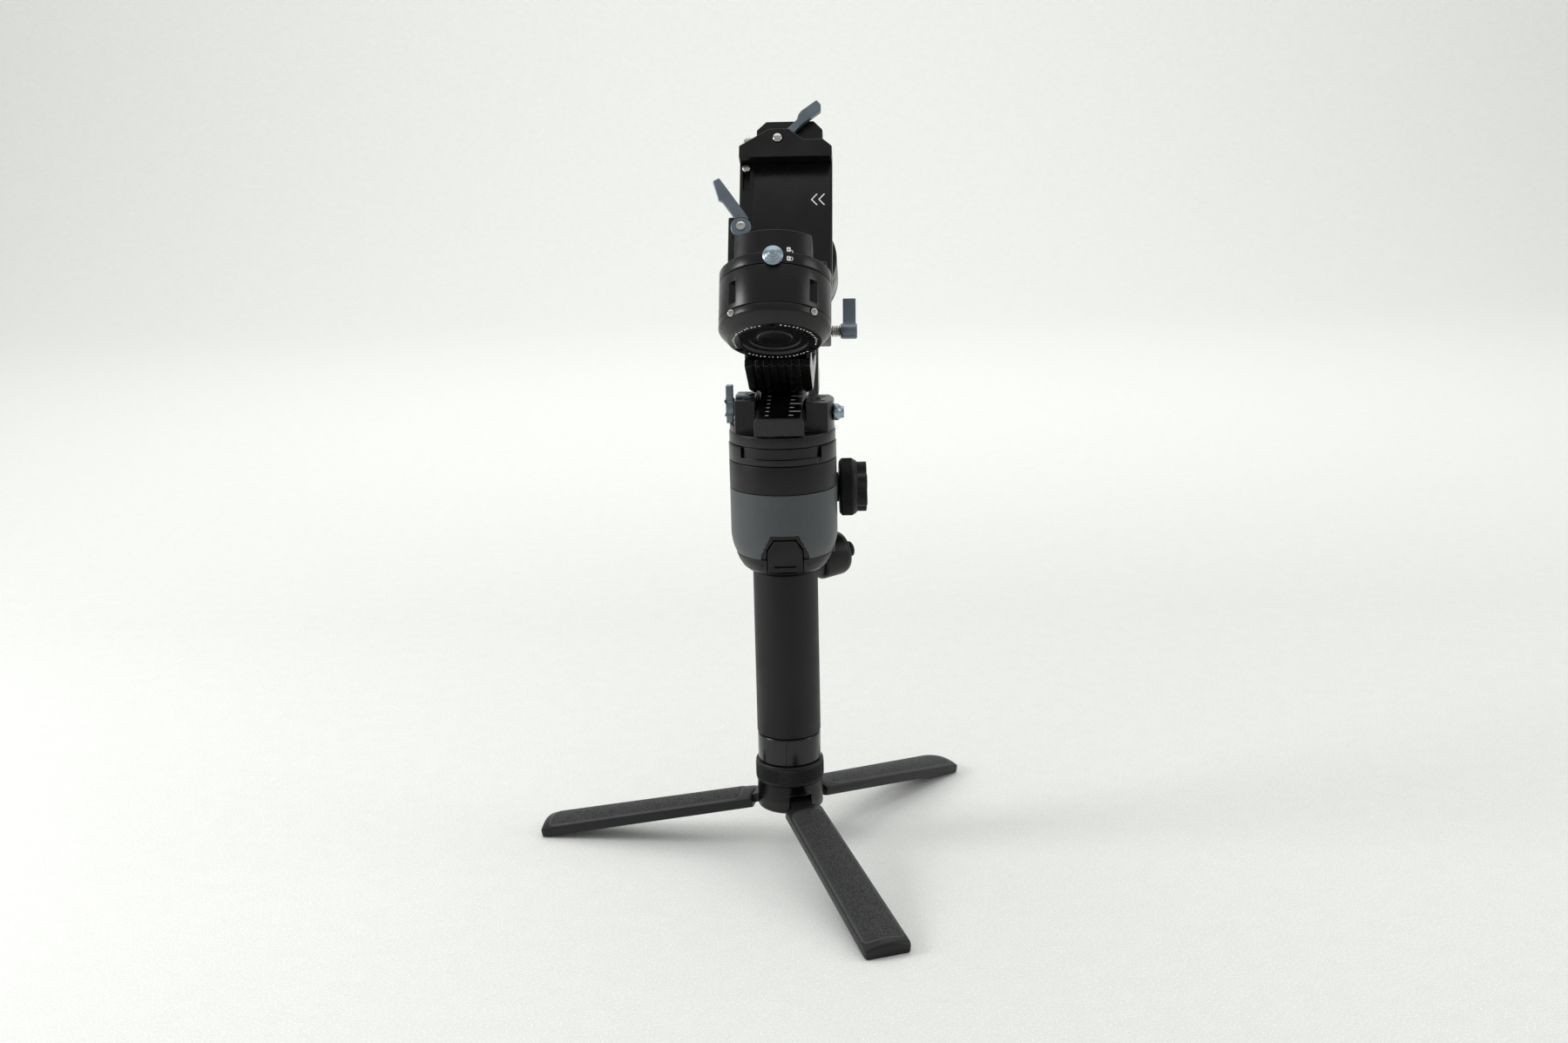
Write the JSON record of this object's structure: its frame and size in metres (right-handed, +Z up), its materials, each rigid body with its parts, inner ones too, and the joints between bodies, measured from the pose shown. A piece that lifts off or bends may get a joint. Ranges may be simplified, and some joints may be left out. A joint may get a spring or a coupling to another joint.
{
  "type": "camera gimbal stabilizer",
  "caption": "Handheld motorised gimbal with an upright grip, trigger, focus wheel, folded pan, roll and tilt arms, quick-release camera bed and a folding tripod base.",
  "frame": {"origin": "on the floor, at the middle of the footprint of the whole part with the tripod legs spread", "axes": "+Z up along the handle, -Y towards the trigger side, +X towards the focus wheel side"},
  "size_m": [0.271, 0.29, 0.4462],
  "materials": {
    "satin_black_alloy": "satin black anodised aluminium",
    "gloss_black_alloy": "gloss black anodised aluminium",
    "matte_black_plastic": "matte black glass-filled nylon",
    "slate_grey_plastic": "slate grey fine-textured plastic",
    "black_soft_rubber": "soft-touch black rubber",
    "black_leg_plastic": "smooth charcoal plastic",
    "grained_rubber": "leather-grained charcoal rubber",
    "blue_grey_alloy": "blue-grey anodised aluminium",
    "steel_blue_alloy": "pale steel-blue anodised aluminium",
    "stainless_steel": "bright stainless steel",
    "dark_glass": "dark display window",
    "enamelled_copper": "enamelled copper windings",
    "green_board": "circuit board",
    "cell_wrap": "shrink-wrapped lithium cell"
  },
  "bodies": {
    "handle": {"tripod_hub": "satin_black_alloy", "tripod_bolt": "stainless_steel", "leg_pin_1": "stainless_steel", "leg_pin_2": "stainless_steel", "leg_pin_3": "stainless_steel", "handle_collar": "gloss_black_alloy", "battery_tube": "matte_black_plastic", "grip_cover_front": "black_soft_rubber", "grip_cover_rear": "black_soft_rubber", "battery_cell": "cell_wrap", "battery_board": "green_board", "body_core": "matte_black_plastic", "body_shell": "slate_grey_plastic", "rear_housing": "slate_grey_plastic", "main_board": "green_board", "display_window": "dark_glass", "thumb_pod": "matte_black_plastic", "pan_housing": "satin_black_alloy", "pan_core": "enamelled_copper"},
    "lock_ring": {"tripod_lock_ring": "black_soft_rubber"},
    "leg_1": {"tripod_leg_1": "black_leg_plastic", "leg_pad_1": "grained_rubber"},
    "leg_2": {"tripod_leg_2": "black_leg_plastic", "leg_pad_2": "grained_rubber"},
    "leg_3": {"tripod_leg_3": "black_leg_plastic", "leg_pad_3": "grained_rubber"},
    "trigger": {"trigger": "matte_black_plastic"},
    "focus_wheel": {"focus_wheel": "black_soft_rubber", "focus_wheel_hub": "blue_grey_alloy"},
    "stick_cradle": {"thumb_stick_cradle": "stainless_steel"},
    "thumb_stick": {"thumb_stick": "black_soft_rubber"},
    "mode_button": {"mode_button": "black_soft_rubber"},
    "menu_button": {"menu_button": "black_soft_rubber"},
    "power_button": {"power_button": "black_soft_rubber"},
    "port_cover": {"port_cover": "black_soft_rubber"},
    "pan_rotor": {"pan_rotor": "satin_black_alloy"},
    "pan_arm_lever": {"pan_arm_lever": "blue_grey_alloy"},
    "pan_lock_pin": {"pan_lock_pin": "steel_blue_alloy"},
    "pan_arm": {"pan_arm": "gloss_black_alloy", "roll_housing": "satin_black_alloy", "roll_core": "enamelled_copper", "roll_cap": "satin_black_alloy"},
    "roll_rotor": {"roll_rotor": "satin_black_alloy"},
    "roll_arm_knob": {"roll_arm_knob": "blue_grey_alloy"},
    "roll_arm": {"roll_arm": "satin_black_alloy", "tilt_housing": "satin_black_alloy", "tilt_core": "enamelled_copper", "tilt_cap": "satin_black_alloy", "tilt_stop_screw_left": "stainless_steel", "tilt_stop_screw_right": "stainless_steel"},
    "tilt_rotor": {"tilt_rotor": "satin_black_alloy"},
    "tilt_lock_knob": {"tilt_lock_knob": "steel_blue_alloy"},
    "tilt_arm_lever": {"tilt_arm_lever": "blue_grey_alloy"},
    "camera_platform": {"camera_platform": "satin_black_alloy", "release_block": "satin_black_alloy", "release_pivot": "stainless_steel"},
    "release_lever": {"release_lever": "blue_grey_alloy"},
    "release_jaw": {"release_jaw": "satin_black_alloy"},
    "safety_pin": {"safety_pin": "stainless_steel"}
  },
  "joints": [
    {"name": "leg_1_fold", "type": "hinge", "parent": "handle", "child": "leg_1", "pos_m": [0.02568, -0.00343, 0.03332], "axis": [0.9466, 0.3223, 0], "range_deg": [0, 78.5]},
    {"name": "leg_2_fold", "type": "hinge", "parent": "handle", "child": "leg_2", "pos_m": [0.02988, 0.01781, 0.03332], "axis": [-0.7524, 0.6587, 0], "range_deg": [0, 78.5]},
    {"name": "leg_3_fold", "type": "hinge", "parent": "handle", "child": "leg_3", "pos_m": [0.00939, 0.01083, 0.03332], "axis": [-0.1942, -0.981, 0], "range_deg": [0, 78.5]},
    {"name": "lock_ring_turn", "type": "hinge", "parent": "handle", "child": "lock_ring", "pos_m": [0.02165, 0.0084, 0.05302], "axis": [0, 0, 1], "range_deg": [0, 120]},
    {"name": "trigger_pull", "type": "hinge", "parent": "handle", "child": "trigger", "pos_m": [0.02165, -0.0126, 0.19902], "axis": [1, 0, 0], "range_deg": [0, 6], "stiffness_Nm_per_rad": 0.3},
    {"name": "focus_wheel_turn", "type": "hinge", "parent": "handle", "child": "focus_wheel", "pos_m": [0.05505, 0.0324, 0.21952], "axis": [1, 0, 0], "continuous": true},
    {"name": "stick_side", "type": "hinge", "parent": "handle", "child": "stick_cradle", "pos_m": [0.05552, 0.03557, 0.17862], "axis": [0.0755, 0.0436, -0.9962], "range_deg": [-8, 8], "stiffness_Nm_per_rad": 0.02},
    {"name": "stick_tip", "type": "hinge", "parent": "stick_cradle", "child": "thumb_stick", "pos_m": [0.05552, 0.03557, 0.17862], "axis": [-0.5, 0.866, 0], "range_deg": [-8, 8], "stiffness_Nm_per_rad": 0.02},
    {"name": "mode_button_press", "type": "slide", "parent": "handle", "child": "mode_button", "axis": [0, -1, 0], "range_m": [0, 0.0012], "stiffness_N_per_m": 150},
    {"name": "menu_button_press", "type": "slide", "parent": "handle", "child": "menu_button", "axis": [0, -1, 0], "range_m": [0, 0.0012], "stiffness_N_per_m": 150},
    {"name": "power_button_press", "type": "slide", "parent": "handle", "child": "power_button", "axis": [0, -1, 0], "range_m": [0, 0.0012], "stiffness_N_per_m": 150},
    {"name": "port_cover_open", "type": "hinge", "parent": "handle", "child": "port_cover", "pos_m": [0.02285, 0.0469, 0.19952], "axis": [1, 0, 0], "range_deg": [0, 80]},
    {"name": "pan_turn", "type": "hinge", "parent": "handle", "child": "pan_rotor", "pos_m": [0.02165, 0.0084, 0.25452], "axis": [0, 0, 1], "continuous": true},
    {"name": "pan_lever_turn", "type": "hinge", "parent": "pan_rotor", "child": "pan_arm_lever", "pos_m": [-0.00539, 0.00495, 0.27462], "axis": [0.9983, -0.0576, 0], "range_deg": [0, 100]},
    {"name": "pan_lock_pull", "type": "slide", "parent": "pan_rotor", "child": "pan_lock_pin", "axis": [0.9983, -0.0576, 0], "range_m": [0, 0.004]},
    {"name": "pan_arm_slide", "type": "slide", "parent": "pan_rotor", "child": "pan_arm", "axis": [0.0567, 0.9832, 0.1737], "range_m": [0, 0.02]},
    {"name": "roll_turn", "type": "hinge", "parent": "pan_arm", "child": "roll_rotor", "pos_m": [0.02165, 0.0084, 0.40542], "axis": [0.0494, 0.8571, -0.5128], "range_deg": [-160, 160]},
    {"name": "roll_knob_turn", "type": "hinge", "parent": "roll_rotor", "child": "roll_arm_knob", "pos_m": [0.05292, 0.06614, 0.30876], "axis": [0.9983, -0.0576, 0], "range_deg": [-180, 180]},
    {"name": "roll_arm_slide", "type": "slide", "parent": "roll_rotor", "child": "roll_arm", "axis": [0.0295, 0.5119, 0.8585], "range_m": [0, 0.009]},
    {"name": "tilt_turn", "type": "hinge", "parent": "roll_arm", "child": "tilt_rotor", "pos_m": [0.02165, 0.0084, 0.40542], "axis": [0.0295, 0.5119, 0.8585], "range_deg": [-165, 165]},
    {"name": "tilt_lock_pull", "type": "slide", "parent": "tilt_rotor", "child": "tilt_lock_knob", "axis": [-0.0494, -0.8571, 0.5128], "range_m": [0, 0.004]},
    {"name": "tilt_lever_turn", "type": "hinge", "parent": "tilt_rotor", "child": "tilt_arm_lever", "pos_m": [0.00128, -0.00093, 0.37674], "axis": [-0.0494, -0.8571, 0.5128], "range_deg": [0, 80]},
    {"name": "platform_slide", "type": "slide", "parent": "tilt_rotor", "child": "camera_platform", "axis": [0.9983, -0.0576, 0], "range_m": [-0.012, 0.012]},
    {"name": "release_lever_turn", "type": "hinge", "parent": "camera_platform", "child": "release_lever", "pos_m": [0.02341, 0.04583, 0.41822], "axis": [-0.0494, -0.8571, 0.5128], "range_deg": [0, 75]},
    {"name": "release_jaw_slide", "type": "slide", "parent": "camera_platform", "child": "release_jaw", "axis": [0.0295, 0.5119, 0.8585], "range_m": [0, 0.0015]},
    {"name": "safety_pin_slide", "type": "slide", "parent": "camera_platform", "child": "safety_pin", "axis": [-0.0295, -0.5119, -0.8585], "range_m": [0, 0.011]}
  ],
  "couplings": [
    {"joint": "release_lever_turn", "follows": "release_jaw_slide", "rad_per_m": 872.6}
  ]
}
